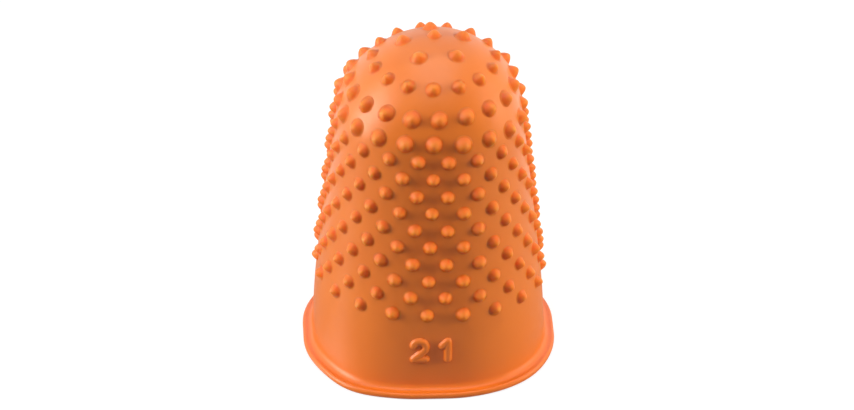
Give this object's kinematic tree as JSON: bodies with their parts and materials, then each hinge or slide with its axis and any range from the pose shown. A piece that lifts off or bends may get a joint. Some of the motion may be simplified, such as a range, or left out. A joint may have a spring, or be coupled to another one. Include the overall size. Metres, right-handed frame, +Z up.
{
  "type": "rubber fingertip",
  "caption": "Soft rubber fingertip cover: a tapered hollow sleeve with a domed tip, a lipped open end and a spiral of small grip nubs, worn for turning pages.",
  "frame": {"origin": "centre of the open end, on the plane of the rim's flat underside", "axes": "+Z up from the open end to the domed tip, -Y to the front that the picture shows, +X to the right seen from the front"},
  "size_m": [0.0244, 0.0244, 0.0333],
  "materials": {
    "rubber": "satin"
  },
  "bodies": {
    "root": {"rim_bead": "rubber", "finger_sleeve": "rubber", "tip_dome": "rubber", "nub_turn_01": "rubber", "nub_turn_02": "rubber", "nub_turn_03": "rubber", "nub_turn_04": "rubber", "nub_turn_05": "rubber", "nub_turn_06": "rubber", "nub_turn_07": "rubber", "nub_turn_08": "rubber", "nub_turn_09": "rubber", "nub_turn_10": "rubber", "nub_turn_11": "rubber", "crown_nubs_low": "rubber", "crown_nubs_mid": "rubber", "crown_nubs_high": "rubber", "apex_nub": "rubber"}
  },
  "joints": []
}
